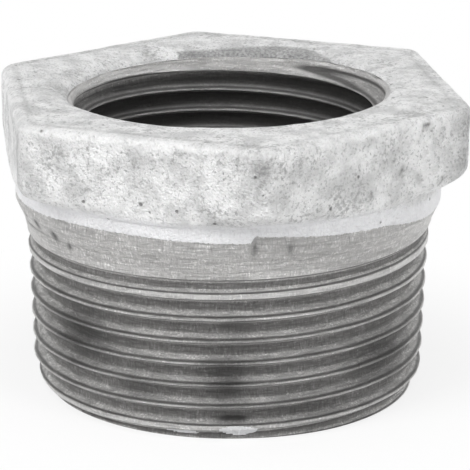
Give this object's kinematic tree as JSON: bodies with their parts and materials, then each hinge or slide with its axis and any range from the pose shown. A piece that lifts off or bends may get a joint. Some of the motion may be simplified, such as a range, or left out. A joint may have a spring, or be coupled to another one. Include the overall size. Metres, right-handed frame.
{
  "type": "hexagon reducing bushing",
  "caption": "Galvanised malleable iron hexagon reducing bushing: taper pipe thread outside for the larger fitting, parallel pipe thread inside for the smaller pipe.",
  "frame": {"origin": "centre of the lower (screwed-in) end face, on the axis", "axes": "+Z along the axis from the lower end to the hexagon head, one corner of the hexagon towards -Y, flats square to X"},
  "size_m": [0.0456, 0.0518, 0.0317],
  "materials": {
    "galvanised_iron": "hot-dip galvanised casting, mottled pale grey, with bare machined threads"
  },
  "bodies": {
    "root": {"hex_bushing": "galvanised_iron"}
  },
  "joints": []
}
